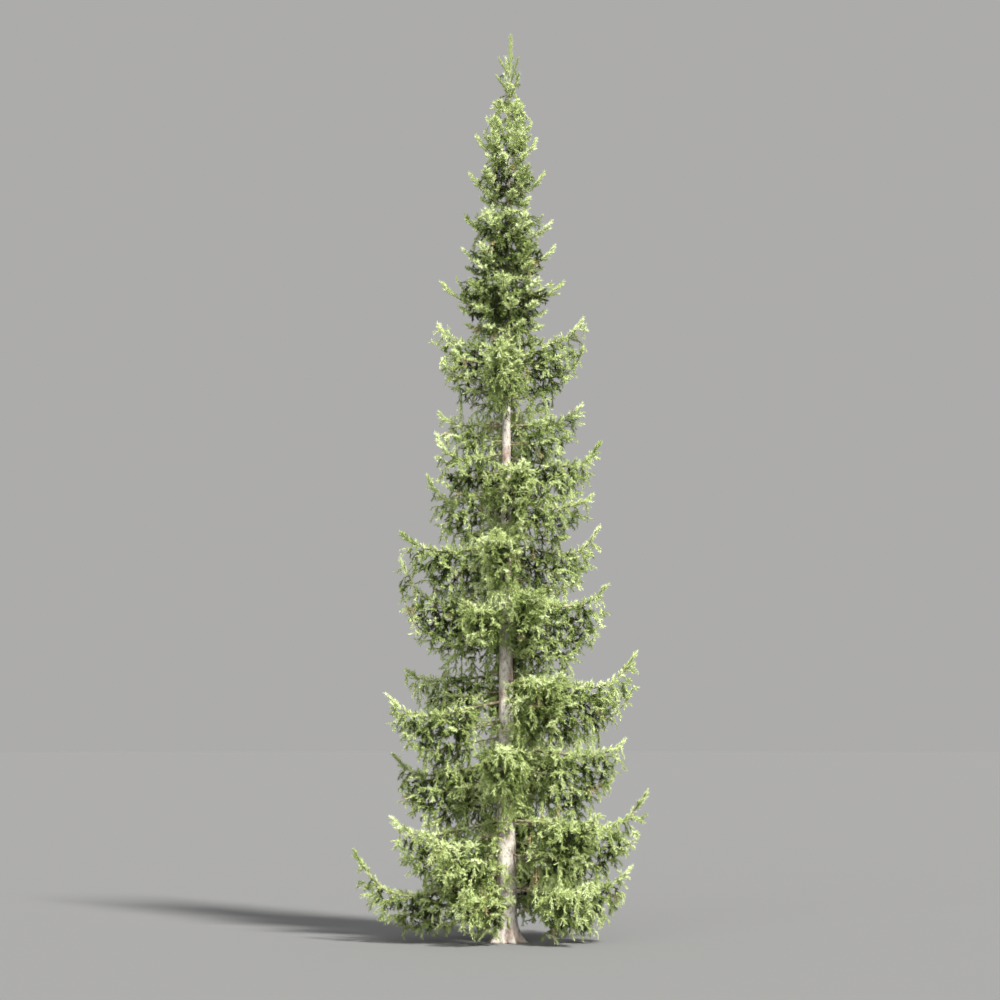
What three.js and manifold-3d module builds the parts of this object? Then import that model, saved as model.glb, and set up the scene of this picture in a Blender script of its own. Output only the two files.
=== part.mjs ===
// A tall, narrow spruce tree, rooted in level ground: one tapering trunk with a root flare, the main
// boughs, and the masses of needles that hang from the boughs. Millimetres, +Z up, the origin in the
// middle of the flat cut under the trunk. -Y is the front of the tree and +X its right side.
import * as THREE from "three";
import { mergeVertices } from "three/addons/utils/BufferGeometryUtils.js";
import Module from "manifold-3d";

// ---- Driving dimensions ----
const tree = {
  height: 16000, // ground to the tip of the leading shoot
  trunkTop: 15850, // the woody tip, inside the leading shoot's needles
  lean: 90, // how far the tip stands to the right of the foot
  gap: 2, // clearance between neighbouring solids
  lowest: 60, // no needles hang nearer to the ground than this
};

const trunk = {
  // [height, radius] of the bare stem, from the ground to the woody tip
  taper: [
    [0, 205],
    [500, 192],
    [2000, 164],
    [4500, 122],
    [7800, 86],
    [10400, 62],
    [13000, 34],
    [tree.trunkTop, 5],
  ],
  sides: 16,
  flareHeight: 620, // the buttresses of the root flare fade out here
  flareSpread: 150, // how far they stand proud of the stem at ground level
  buttresses: 5,
};

// The main boughs, from the lowest tier up. Each one leaves the trunk at height foot, in the direction
// turn (degrees from the right side, towards the back), sags by about three quarters of dip, and turns
// up again to its tip at height tip, reach away from the trunk's axis. Its needles hang to hang below it
// and spread to each side. limb is how far from the axis the bare bough shows before it enters the
// needles; a bough without a limb is hidden in its own mass.
const boughs = [
  { name: "low_left", turn: 182, foot: 1450, reach: 2640, tip: 1600, dip: 950, hang: 860, spread: 580, limb: 520 },
  { name: "low_right", turn: 355, foot: 1280, reach: 2180, tip: 1320, dip: 560, hang: 1000, spread: 650, limb: 560 },
  { name: "low_front_left", turn: 243, foot: 1080, reach: 1700, tip: 960, dip: 420, hang: 870, spread: 540 },
  { name: "low_front_right", turn: 316, foot: 1250, reach: 2100, tip: 1080, dip: 480, hang: 940, spread: 460, limb: 680 },
  { name: "low_back_right", turn: 55, foot: 1550, reach: 2250, tip: 1500, dip: 600, hang: 930, spread: 730 },
  { name: "low_back_left", turn: 120, foot: 1500, reach: 2300, tip: 1550, dip: 700, hang: 960, spread: 760 },

  { name: "second_right", turn: 8, foot: 2320, reach: 2500, tip: 2620, dip: 640, hang: 1180, spread: 620, limb: 480 },
  { name: "second_left", turn: 188, foot: 2420, reach: 2020, tip: 2160, dip: 780, hang: 1180, spread: 590, limb: 460 },
  { name: "second_front_left", turn: 226, foot: 2120, reach: 1980, tip: 1950, dip: 620, hang: 1080, spread: 560 },
  { name: "second_front_right", turn: 322, foot: 2380, reach: 2120, tip: 2240, dip: 480, hang: 1140, spread: 580, limb: 520 },
  { name: "second_back", turn: 88, foot: 2520, reach: 2250, tip: 2450, dip: 620, hang: 1180, spread: 840 },

  { name: "third_left", turn: 171, foot: 3400, reach: 2030, tip: 3260, dip: 720, hang: 1260, spread: 630, limb: 440 },
  { name: "third_right", turn: 349, foot: 3580, reach: 2100, tip: 3520, dip: 520, hang: 1380, spread: 630, limb: 440 },
  { name: "third_front", turn: 268, foot: 3660, reach: 1780, tip: 3320, dip: 440, hang: 1170, spread: 560, limb: 520 },
  { name: "third_back", turn: 72, foot: 3560, reach: 2120, tip: 3500, dip: 600, hang: 1200, spread: 760 },
  { name: "third_back_left", turn: 125, foot: 3300, reach: 2050, tip: 3250, dip: 640, hang: 1010, spread: 650 },

  { name: "fourth_right", turn: 4, foot: 4760, reach: 2310, tip: 5030, dip: 560, hang: 1320, spread: 580, limb: 420 },
  { name: "fourth_left", turn: 192, foot: 4420, reach: 2130, tip: 4310, dip: 720, hang: 1180, spread: 580, limb: 400 },
  { name: "fourth_left_rear", turn: 156, foot: 4760, reach: 1970, tip: 4760, dip: 360, hang: 1060, spread: 570 },
  { name: "fourth_front", turn: 302, foot: 4780, reach: 1880, tip: 4620, dip: 440, hang: 1270, spread: 560, limb: 460 },
  { name: "fourth_back", turn: 80, foot: 4740, reach: 2020, tip: 4780, dip: 520, hang: 1250, spread: 760 },

  { name: "fifth_left", turn: 177, foot: 6380, reach: 1860, tip: 6680, dip: 760, hang: 1400, spread: 620 },
  { name: "fifth_right", turn: 355, foot: 6020, reach: 1790, tip: 6190, dip: 340, hang: 1540, spread: 620 },
  { name: "fifth_front", turn: 240, foot: 6060, reach: 1560, tip: 5880, dip: 460, hang: 860, spread: 520 },
  { name: "fifth_front_right", turn: 296, foot: 6260, reach: 1500, tip: 6060, dip: 420, hang: 1170, spread: 500 },
  { name: "fifth_back", turn: 84, foot: 6180, reach: 1850, tip: 6260, dip: 560, hang: 1400, spread: 840 },

  { name: "sixth_left", turn: 190, foot: 6920, reach: 1880, tip: 7110, dip: 260, hang: 1100, spread: 540 },
  { name: "sixth_right", turn: 12, foot: 7080, reach: 1680, tip: 7280, dip: 520, hang: 1040, spread: 570 },
  { name: "sixth_front", turn: 262, foot: 7260, reach: 1420, tip: 7080, dip: 400, hang: 1200, spread: 540 },
  { name: "sixth_back", turn: 98, foot: 7160, reach: 1680, tip: 7240, dip: 420, hang: 1220, spread: 700 },

  { name: "seventh_left", turn: 170, foot: 8020, reach: 1410, tip: 8160, dip: 560, hang: 1080, spread: 510 },
  { name: "seventh_right", turn: 344, foot: 7760, reach: 1560, tip: 7760, dip: 340, hang: 900, spread: 510 },
  { name: "eighth_left", turn: 196, foot: 8640, reach: 1300, tip: 8830, dip: 420, hang: 1120, spread: 490 },
  { name: "eighth_right", turn: 4, foot: 8560, reach: 1680, tip: 8730, dip: 420, hang: 1000, spread: 510 },
  { name: "eighth_front", turn: 286, foot: 8420, reach: 1240, tip: 8260, dip: 360, hang: 1170, spread: 480 },
  { name: "eighth_back", turn: 92, foot: 8480, reach: 1500, tip: 8480, dip: 420, hang: 1270, spread: 700 },

  { name: "ninth_left", turn: 177, foot: 9140, reach: 1200, tip: 9270, dip: 240, hang: 830, spread: 540 },
  { name: "ninth_right", turn: 352, foot: 9120, reach: 1340, tip: 9380, dip: 220, hang: 830, spread: 540 },
  { name: "ninth_back", turn: 84, foot: 9180, reach: 1280, tip: 9360, dip: 240, hang: 860, spread: 620 },
  { name: "tenth_left", turn: 186, foot: 10500, reach: 1220, tip: 10800, dip: 160, hang: 1400, spread: 570 },
  { name: "tenth_right", turn: 2, foot: 10520, reach: 1350, tip: 10930, dip: 160, hang: 1420, spread: 570 },
  { name: "tenth_front", turn: 264, foot: 10420, reach: 1100, tip: 10360, dip: 160, hang: 1400, spread: 520 },
  { name: "tenth_back", turn: 94, foot: 10460, reach: 1240, tip: 10640, dip: 160, hang: 1640, spread: 620 },
];

// Above the tenth tier the boughs are short and close together, so each tier is one lobed skirt round
// the trunk: its outline is [height, radius] from its lowest point to its highest, aside is how far its
// middle stands to the right of the trunk's axis. The last one holds the leading shoot.
const skirts = [
  {
    name: "eleventh",
    aside: -70,
    lobes: 4,
    outline: [[10640, 0], [10670, 620], [11000, 780], [11300, 930], [11580, 1060], [11620, 860], [11560, 0]],
  },
  {
    name: "twelfth",
    aside: -30,
    lobes: 5,
    outline: [
      [11570, 0], [11630, 600], [11900, 750], [12220, 860], [12330, 680], [12480, 700],
      [12760, 840], [12830, 520], [12850, 0],
    ],
  },
  {
    name: "thirteenth",
    aside: -40,
    lobes: 5,
    outline: [
      [12860, 0], [12890, 400], [13120, 480], [13540, 700], [13640, 440], [13850, 400],
      [14220, 560], [14290, 320], [14310, 0],
    ],
  },
  {
    name: "spire",
    aside: -20,
    lobes: 4,
    outline: [
      [14320, 0], [14340, 330], [14540, 470], [14680, 330], [14900, 260], [15250, 220],
      [15580, 150], [15680, 55], [15950, 38], [tree.height, 0],
    ],
  },
];

const needleMass = {
  around: 8,
  along: 7,
  crest: 110, // how far needles stand above their bough
  inner: 60, // clear space between the trunk and the start of a hidden bough's mass
  tipWidth: 55,
  widest: 0.75, // half the width of a mass, at most, for its distance from the trunk
  slant: 0.3, // how far a mass's cross-sections lean with its bough, from 0, upright, to 1, square to it
  roughness: 0.16, // share by which the surface swells and shrinks
  skirtSides: 16,
  lobeDepth: 0.14, // how far a skirt's valleys lie behind its lobes
};

const limb = { thicknessShare: 0.013, taper: 0.8, sides: 7, steps: 3, intoTrunk: 60, intoMass: 160 };

const colours = {
  bark: { color: 0xb9b0a0, roughness: 0.95, metalness: 0 },
  boughBark: { color: 0x9a8a76, roughness: 0.95, metalness: 0 },
  needles: { color: 0x8a9a5c, roughness: 0.8, metalness: 0 },
};

const wasm = await Module();
wasm.setup();

// ---- Small helpers ----
const mix = (a, b, share) => a + (b - a) * share;

// How deep or wide a mass is along its bough: full soon after the trunk, then slender to the tip.
const fullness = (share) => Math.min(1, share / 0.12) ** 0.5 * Math.max(0, 1 - share ** 1.5) ** 0.95;

// A smooth, repeatable unevenness between -1 and 1.
function unevenness(p, seed) {
  return (
    Math.sin(p.x * 0.0061 + seed * 1.7) * Math.cos(p.y * 0.0067 - seed) * 0.6 +
    Math.sin((p.x + p.z) * 0.0113 + seed * 2.3) * 0.4
  );
}

// The stem's radius at a height, between the rows of its taper.
function trunkRadius(height) {
  const rows = trunk.taper;
  const next = rows.findIndex(([h]) => h >= height);
  if (next <= 0) return next === 0 ? rows[0][1] : rows[rows.length - 1][1];
  const [lowHeight, lowRadius] = rows[next - 1];
  const [highHeight, highRadius] = rows[next];
  return mix(lowRadius, highRadius, (height - lowHeight) / (highHeight - lowHeight));
}

// The trunk's axis leans a little, more towards the tip.
const axisShift = (height) => tree.lean * (height / tree.height) ** 4;

// ---- Solids: three.js geometry in and out of manifold-3d ----
function solidOf(geometry) {
  const bare = geometry.clone();
  bare.deleteAttribute("normal");
  bare.deleteAttribute("uv");
  const merged = mergeVertices(bare, 1e-3);
  return new wasm.Manifold(
    new wasm.Mesh({
      numProp: 3,
      vertProperties: new Float32Array(merged.attributes.position.array),
      triVerts: new Uint32Array(merged.index.array),
    }),
  );
}

function geometryOf(solid) {
  const made = solid.getMesh();
  const geometry = new THREE.BufferGeometry();
  geometry.setAttribute("position", new THREE.BufferAttribute(made.vertProperties, 3));
  geometry.setIndex(new THREE.BufferAttribute(made.triVerts, 1));
  geometry.computeVertexNormals();
  return geometry;
}

const largestBody = (solid) => solid.decompose().reduce((a, b) => (a.volume() > b.volume() ? a : b));

// Moves every vertex of a stock geometry to where place(vertex) says.
function shaped(geometry, place) {
  const points = geometry.attributes.position;
  const vertex = new THREE.Vector3();
  for (let i = 0; i < points.count; i++) {
    place(vertex.fromBufferAttribute(points, i));
    points.setXYZ(i, vertex.x, vertex.y, vertex.z);
  }
  return geometry;
}

// ---- Trunk ----
function trunkGeometry(grow = 0) {
  const rings = [];
  const flareSteps = 4;
  for (let i = 0; i < flareSteps; i++) rings.push((trunk.flareHeight * i) / flareSteps);
  for (let h = trunk.flareHeight; h < tree.trunkTop; h += 1270) rings.push(h);
  rings.push(tree.trunkTop);
  const outline = [new THREE.Vector2(0, -grow)];
  rings.forEach((h, i) => {
    const lift = i === 0 ? -grow : i === rings.length - 1 ? grow : 0;
    outline.push(new THREE.Vector2(trunkRadius(h) + grow, h + lift));
  });
  outline.push(new THREE.Vector2(0, tree.trunkTop + grow));
  const stem = new THREE.LatheGeometry(outline, trunk.sides);
  return shaped(stem, (p) => {
    const height = Math.max(0, p.y);
    const angle = Math.atan2(p.z, p.x);
    const radius = Math.hypot(p.x, p.z);
    const fade = Math.max(0, 1 - height / trunk.flareHeight) ** 2;
    const ridge = 0.6 + 0.4 * Math.cos(angle * trunk.buttresses + 0.4);
    const flared = radius < 1e-6 ? 0 : radius + trunk.flareSpread * fade * ridge;
    const up = p.y;
    p.set(axisShift(height) + flared * Math.cos(angle), -flared * Math.sin(angle), up);
  });
}

// ---- Boughs and their needles ----
// The bough's line: a curve that leaves the trunk, sags and turns up, in its own upright plane.
function boughCurve(b) {
  const out = new THREE.Vector2(Math.cos((b.turn * Math.PI) / 180), Math.sin((b.turn * Math.PI) / 180));
  const at = (radius, height) =>
    new THREE.Vector3(axisShift(b.foot) + out.x * radius, out.y * radius, height);
  return new THREE.CubicBezierCurve3(
    at(0, b.foot),
    at(b.reach * 0.45, b.foot - b.dip),
    at(b.reach * 0.92, b.foot - b.dip),
    at(b.reach, b.tip),
  );
}

// The share of the curve at which it is radius away from the trunk's axis.
function shareAt(curve, radius) {
  const foot = curve.getPoint(0);
  let share = 0;
  while (share < 1 && Math.hypot(curve.getPoint(share).x - foot.x, curve.getPoint(share).y) < radius)
    share += 0.005;
  return share;
}

// The frame across a bough: side is level, up is square to it. With slant 1 up is square to the bough too,
// with slant 0 it is upright.
function across(curve, share, slant) {
  const along = curve.getTangent(Math.min(1, share));
  along.z *= slant;
  const side = new THREE.Vector3(0, 0, 1).cross(along).normalize();
  return { along, side, up: along.clone().cross(side).normalize() };
}

function massGeometry(b, seed, grow = 0) {
  const curve = boughCurve(b);
  const start = shareAt(curve, b.limb ? b.limb : trunkRadius(b.foot) + needleMass.inner);
  const ball = new THREE.SphereGeometry(1, needleMass.around, needleMass.along);
  return shaped(ball, (p) => {
    // The ball's own axis runs along the bough: 0 at the trunk's end, 1 at the tip.
    const polar = Math.acos(Math.max(-1, Math.min(1, -p.y)));
    const station = polar / Math.PI;
    const angle = Math.atan2(p.z, p.x);
    const ring = Math.sin(polar) > 1e-6 ? 1 : 0;
    const place = curve.getPoint(mix(start, 1, station));
    const { along, side, up } = across(curve, mix(start, 1, station), needleMass.slant);
    const full = fullness(Math.max(station, 0.05));
    const room = Math.hypot(place.x, place.y) * needleMass.widest;
    const lump = 1 + needleMass.roughness * unevenness(place.clone().addScaledVector(side, -700 * p.x), seed + p.z);
    const half = Math.min(Math.max(b.spread * full, needleMass.tipWidth), room) * lump + grow;
    const above = Math.min(needleMass.crest, b.hang * full) * lump + grow;
    const below = Math.max(b.hang * full, needleMass.tipWidth) * lump + grow;
    const reachOut = -Math.cos(angle) * half * ring;
    const lift = Math.sin(angle) * (Math.sin(angle) > 0 ? above : below) * ring;
    const end = station < 0.5 ? -grow : grow;
    p.copy(place).addScaledVector(side, reachOut).addScaledVector(up, lift);
    if (!ring) p.addScaledVector(along, end);
    p.z = Math.max(p.z, tree.lowest - grow);
  });
}

function limbGeometry(b, grow = 0) {
  const curve = boughCurve(b);
  const from = shareAt(curve, trunkRadius(b.foot) - limb.intoTrunk);
  const to = shareAt(curve, b.limb + limb.intoMass);
  const rod = new THREE.CylinderGeometry(limb.taper, 1, 1, limb.sides, limb.steps);
  return shaped(rod, (p) => {
    const share = mix(from, to, p.y + 0.5);
    const end = Math.abs(p.y) === 0.5 ? grow * Math.sign(p.y) : 0;
    const { along, side, up } = across(curve, share, 1);
    const radius = Math.hypot(p.x, p.z);
    const thick = radius < 1e-6 ? 0 : b.reach * limb.thicknessShare + grow / radius;
    const offset = new THREE.Vector2(p.x, p.z).multiplyScalar(thick);
    p.copy(curve.getPoint(share)).addScaledVector(side, -offset.x).addScaledVector(up, offset.y);
    p.addScaledVector(along, end);
  });
}

// ---- Skirts of the narrow top ----
function skirtGeometry(w, seed, grow = 0) {
  const last = w.outline.length - 1;
  const outline = w.outline.map(([height, radius], i) => {
    const lift = i === 0 ? -grow : i === last ? grow : 0;
    return new THREE.Vector2(radius ? radius + grow : 0, height + lift);
  });
  return shaped(new THREE.LatheGeometry(outline, needleMass.skirtSides), (p) => {
    const angle = Math.atan2(p.z, p.x);
    const radius = Math.hypot(p.x, p.z);
    const valley = 0.5 - 0.5 * Math.cos(angle * w.lobes + seed);
    const lobed = Math.max(0, radius - grow) * (1 - needleMass.lobeDepth * valley) + Math.min(radius, grow);
    const middle = axisShift(p.y) + w.aside;
    p.set(middle + lobed * Math.cos(angle), -lobed * Math.sin(angle), p.y);
  });
}

// ---- The tree ----
const group = new THREE.Group();
const add = (name, solid, finish) => {
  const mesh = new THREE.Mesh(geometryOf(solid), new THREE.MeshStandardMaterial(finish));
  mesh.name = name;
  group.add(mesh);
};

const touching = (a, b) => {
  const one = a.boundingBox();
  const other = b.boundingBox();
  return one.min.every((low, i) => low < other.max[i] && other.min[i] < one.max[i]);
};

// What later solids are cut by: each solid already placed, grown by the gap.
const keptClear = [];
const cutFree = (solid) =>
  largestBody(keptClear.reduce((left, other) => (touching(left, other) ? left.subtract(other) : left), solid));

add("trunk", solidOf(trunkGeometry()), colours.bark);
keptClear.push(solidOf(trunkGeometry(tree.gap)));

const limbed = boughs.filter((b) => b.limb);
for (const b of limbed) add("bough_" + b.name, cutFree(solidOf(limbGeometry(b))), colours.boughBark);
for (const b of limbed) keptClear.push(solidOf(limbGeometry(b, tree.gap)));

// The masses are placed from the ground up, so each one's hanging needles end on the boughs below it.
boughs.forEach((b, seed) => {
  add("needles_" + b.name, cutFree(solidOf(massGeometry(b, seed))), colours.needles);
  keptClear.push(solidOf(massGeometry(b, seed, tree.gap)));
});

skirts.forEach((w, seed) => {
  add("needles_" + w.name, cutFree(solidOf(skirtGeometry(w, seed))), colours.needles);
  keptClear.push(solidOf(skirtGeometry(w, seed, tree.gap)));
});

export default group;
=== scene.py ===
import itertools
import math
import random

import bmesh
import bpy
import numpy as np
from mathutils import Matrix, Vector, noise
from mathutils.bvhtree import BVHTree


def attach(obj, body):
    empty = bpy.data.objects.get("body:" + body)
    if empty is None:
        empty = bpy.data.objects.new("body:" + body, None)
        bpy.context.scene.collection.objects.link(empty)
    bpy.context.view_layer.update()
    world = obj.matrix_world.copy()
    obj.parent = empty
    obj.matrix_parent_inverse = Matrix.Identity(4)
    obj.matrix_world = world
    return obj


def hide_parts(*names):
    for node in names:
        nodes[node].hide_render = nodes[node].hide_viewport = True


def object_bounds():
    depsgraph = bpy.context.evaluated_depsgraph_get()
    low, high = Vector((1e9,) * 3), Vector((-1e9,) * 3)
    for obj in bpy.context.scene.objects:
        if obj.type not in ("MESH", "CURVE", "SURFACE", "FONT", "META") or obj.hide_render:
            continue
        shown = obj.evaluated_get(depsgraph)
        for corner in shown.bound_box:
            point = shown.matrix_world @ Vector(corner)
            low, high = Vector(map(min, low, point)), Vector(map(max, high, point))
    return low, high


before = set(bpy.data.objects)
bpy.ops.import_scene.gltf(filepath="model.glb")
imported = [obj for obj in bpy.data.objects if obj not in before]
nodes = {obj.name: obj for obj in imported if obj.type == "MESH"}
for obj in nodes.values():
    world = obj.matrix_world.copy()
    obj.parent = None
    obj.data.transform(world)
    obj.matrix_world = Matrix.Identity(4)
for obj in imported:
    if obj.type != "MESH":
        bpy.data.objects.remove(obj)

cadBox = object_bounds()
dice = random.Random(7)
noise.seed_set(7)  # noise_vector differs from run to run without it
print("frame loaded,", len(nodes), "solids")


class Wire:  # a socket, so that shader maths reads as a plain expression
    def __init__(self, tree, socket):
        self.tree, self.socket = tree, socket

    def maths(self, operation, *others):
        node = self.tree.nodes.new("ShaderNodeMath")
        node.operation = operation
        for i, value in enumerate((self,) + others):
            plug(self.tree, node.inputs[i], value)
        return Wire(self.tree, node.outputs[0])

    def __add__(self, other):
        return self.maths("ADD", other)

    def __mul__(self, other):
        return self.maths("MULTIPLY", other)

    __radd__, __rmul__ = __add__, __mul__  # the same either way round


def plug(tree, socket, value):  # a link, or a plain value
    if isinstance(value, Wire):
        tree.links.new(value.socket, socket)
    else:
        socket.default_value = value


def setStops(ramp, stops):
    while len(ramp.elements) < len(stops):
        ramp.elements.new(0.5)
    for stop, (place, colour) in zip(ramp.elements, stops):
        stop.position, stop.color = place, colour


class Finish:  # one material and the nodes that make it
    def __init__(self, name, roughness):
        self.material = bpy.data.materials.new(name)
        self.material.use_nodes = True
        self.tree = self.material.node_tree
        self.shader = self.tree.nodes["Principled BSDF"]
        self.shader.inputs["Roughness"].default_value = roughness
        self.shader.inputs["Specular IOR Level"].default_value = 0.25

    def node(self, kind, settings=None, output=0, **inputs):
        made = self.tree.nodes.new(kind)
        for key, value in (settings or {}).items():
            if key == "stops":
                setStops(made.color_ramp, value)
            else:
                setattr(made, key, value)
        for key, value in inputs.items():  # by identifier, or by name with _ for a space
            fitting = [s for s in made.inputs if s.identifier == key or s.name == key.replace("_", " ")]
            plug(self.tree, fitting[0], value)
        return Wire(self.tree, made.outputs[output])

    def mix(self, share, one, other):
        sockets = {"Factor_Float": share, "A_Color": one, "B_Color": other}
        return self.node("ShaderNodeMix", {"data_type": "RGBA"}, 2, **sockets)

    def feed(self, name, value):
        plug(self.tree, self.shader.inputs[name], value)


black, white = (0, 0, 0, 1), (1, 1, 1, 1)  # no and all, as the stops of a mask


def shade(red, green, blue):  # a colour given as on a screen, 0 to 255
    linear = []
    for c in (red, green, blue):
        linear.append(c / 255 / 12.92 if c < 10.3 else ((c / 255 + 0.055) / 1.055) ** 2.4)
    return (*linear, 1.0)


def placed(name, data):
    made = bpy.data.objects.new(name, data)
    bpy.context.scene.collection.objects.link(made)
    return made


def heading(angle, far=1):  # level, at an angle round the stem
    return Vector((math.cos(angle) * far, math.sin(angle) * far, 0))


def lift(height):
    return Vector((0, 0, height))


def fromAxis(p):
    return math.hypot(p.x, p.y)


rayStart = {"above": 20, "below": -1, "beside": 4}  # clear of the tree on each side


class Guide:  # one of the crown's solids, which says where things may grow
    def __init__(self, name):
        bm = bmesh.new()
        bm.from_mesh(nodes[name].data)
        self.name = name
        self.tree = BVHTree.FromBMesh(bm)
        self.points = [v.co.copy() for v in bm.verts]
        self.reach = max(fromAxis(p) for p in self.points)
        self.corners = [[pick(p[i] for p in self.points) for i in range(3)] for pick in (min, max)]
        bm.free()

    def roof(self, x, y):
        hit = self.tree.ray_cast(Vector((x, y, rayStart["above"])), lift(-1))[0]
        return hit.z if hit else None

    def base(self, x, y):
        hit = self.tree.ray_cast(Vector((x, y, rayStart["below"])), lift(1))[0]
        return hit.z if hit else None

    def holds(self, p, margin=0.0):
        top, low = self.roof(p.x, p.y), self.base(p.x, p.y)
        return top is not None and low is not None and low + margin < p.z < top - margin

    def away(self, p):  # distance from the surface, inside or outside
        return self.tree.find_nearest(p)[3]

    def depth(self, p):  # how far in under the surface
        return self.away(p) if self.holds(p) else 0.0

    def rim(self, angle, z):  # distance of the outer surface from the axis, at a height
        out = heading(angle)
        hit, _, _, far = self.tree.ray_cast(out * rayStart["beside"] + lift(z), -out)
        return rayStart["beside"] - far if hit else None


class Track:  # a line, measured along its length
    def __init__(self, line):
        self.marks = [0.0]
        for p, q in zip(line, line[1:]):
            self.marks.append(self.marks[-1] + (q - p).length)
        self.total = self.marks[-1]
        self.columns = [[p[i] for p in line] for i in range(3)]

    def at(self, s):
        return Vector([float(np.interp(s, self.marks, c)) for c in self.columns])

    def along(self, s, half=0.04):
        return (self.at(min(self.total, s + half)) - self.at(max(0, s - half))).normalized()

    def evenly(self, step):
        grid = np.linspace(0, self.total, max(2, round(self.total / step) + 1))
        return [Vector(p) for p in zip(*[np.interp(grid, self.marks, c) for c in self.columns])]


stem = {
    "flareHeight": 0.62,
    "flareSpread": 0.17,
    "flareFade": 3.2,  # how soon the flare dies away above the ground
    "buttresses": 5,
    "flareTurn": 0.4,
    "footGrowth": 0.025,  # how fast the round stem widens below the flare's top
    "leanPower": 4,  # the lean is nearly all in the upper stem
}


def stemRows():  # height, sideways place and mean radius of each ring of the trunk's solid
    rings = {}
    for v in nodes["trunk"].data.vertices:
        rings.setdefault(round(v.co.z, 2), []).append(v.co)
    found = []
    for z, ring in sorted(rings.items()):
        middle = sum(ring, Vector()) / len(ring)
        radii = [(p - middle).length for p in ring if (p - middle).length > 0.001]
        found.append((z, middle.x, sum(radii) / len(radii)))
    return found


taper = [row for row in stemRows() if row[0] >= stem["flareHeight"] - 0.01]
stem["top"], stem["lean"] = taper[-1][:2]


def stemRadius(z):
    if z < taper[0][0]:
        return taper[0][2] + (taper[0][0] - z) * stem["footGrowth"]
    return float(np.interp(z, [row[0] for row in taper], [row[2] for row in taper]))


def stemMiddle(z):
    return Vector((stem["lean"] * (max(z, 0) / stem["top"]) ** stem["leanPower"], 0, z))


boughRule = {
    "cover": 0.085,  # depth of the bough's line under the top of its solid
    "tipZone": 0.93,  # the tip is the highest point beyond this share of the reach
    "start": 0.12,  # distance from the axis where the line is first taken
    "steps": 19,
    "allSteps": 18.4,  # steps to the tip, closer together towards it
    "closing": 1.5,
    "turnUp": 0.84,  # share of the reach at which a bough turns up to its tip
    "bend": 1.7,  # 1 is straight, more bends up later
    "lastShares": (0.4, 0.7),
    "slopes": (-0.7, 0.3),  # limits of the slope with which a bough leaves the stem
    "spacing": 0.085,
    "wander": 0.018,
    "waves": 1.7,
    "apart": 3.1,  # so that no two boughs wander alike
    "steady": 4,  # points over which the wandering sets in
    "spikeWander": 0.2,  # share of it on the straight shoots at the very top
    "thickness": 0.012,  # radius at the foot for a bough 1 m long
    "slimmer": 0.7,  # share of that on all but the main boughs
    "footRadius": 0.004,  # added to it
    "tipRadius": 0.0035,
    "taper": 0.9,
    "under": [  # further boughs lower in a deep solid: (drop, turn in degrees)
        (0.3, 17), (0.36, -18), (0.6, 2), (0.85, 14), (0.95, -14), (1.2, 2),
    ],
    "underTurn": 4,  # degrees that this turn varies by
    "underStep": 0.09,
    "underMargin": 0.02,  # they stay this far inside
    "underTip": (0.7, 0.3, 0.14),  # start and length of the upturned end, as shares, and its rise
    "fewest": 5,  # points in the shortest of them
    "leastReach": 0.5,
}
boughs = []


def softened(points, rounds=2):
    for _ in range(rounds):
        middle = [(a + b * 2 + c) / 4 for a, b, c in zip(points, points[1:], points[2:])]
        points = [points[0]] + middle + [points[-1]]
    return points


def wandered(points, index, size):
    out = []
    for i, p in enumerate(points):
        share = min(1, i / boughRule["steady"])
        wave = noise.noise_vector(p * boughRule["waves"] + Vector((index * boughRule["apart"], 0, 0)))
        out.append(p + wave * size * share)
    return out


def mainLine(guide):  # from the stem, close under the solid's top, out and up to its tip
    outer = [p for p in guide.points if fromAxis(p) > boughRule["tipZone"] * guide.reach]
    tip = max(outer, key=lambda p: p.z)
    far = fromAxis(tip)
    out = Vector((tip.x, tip.y, 0)) / far
    start = boughRule["start"]
    line = []
    for i in range(boughRule["steps"]):
        share = 1 - (1 - i / boughRule["allSteps"]) ** boughRule["closing"]
        r = start + (far - start) * share
        top = guide.roof(out.x * r, out.y * r)
        if top is not None and r < boughRule["turnUp"] * far:
            line.append(out * r + lift(top - boughRule["cover"]))
    line = softened(line[1:])
    last = line[-1]
    for share in boughRule["lastShares"]:
        line.append(last.lerp(tip, share) - lift((tip.z - last.z) * (share - share ** boughRule["bend"])))
    line.append(tip)
    first, second = line[0], line[2]
    slope = (second.z - first.z) / max(0.05, (second - first).to_2d().length)
    low, high = boughRule["slopes"]
    return [lift(first.z - max(low, min(high, slope)) * fromAxis(first))] + line


def underLine(guide, line, drop, turn):  # the main line, lowered and turned, as far as the solid goes
    swing = Matrix.Rotation(math.radians(turn), 3, "Z")
    path = []
    for p in line:
        q = swing @ p - lift(drop)
        if fromAxis(q) > boughRule["leastReach"] and not guide.holds(q, boughRule["underMargin"]):
            break
        path.append(q)
    if len(path) < boughRule["fewest"] or fromAxis(path[-1]) < boughRule["leastReach"]:
        return None
    path = Track(path).evenly(boughRule["underStep"])
    start, length, rise = boughRule["underTip"]
    for i, p in enumerate(path):
        share = max(0, (i / len(path) - start) / length)
        p.z += rise * share * share
    return path


def addBough(guide, line, kind):
    line = Track(softened(line)).evenly(boughRule["spacing"])
    size = boughRule["wander"] * (boughRule["spikeWander"] if kind == "spike" else 1)
    line = wandered(line, len(boughs), size)
    line[0] = stemMiddle(line[0].z)
    boughs.append({"guide": guide, "line": line, "reach": fromAxis(line[-1]), "kind": kind})


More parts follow.
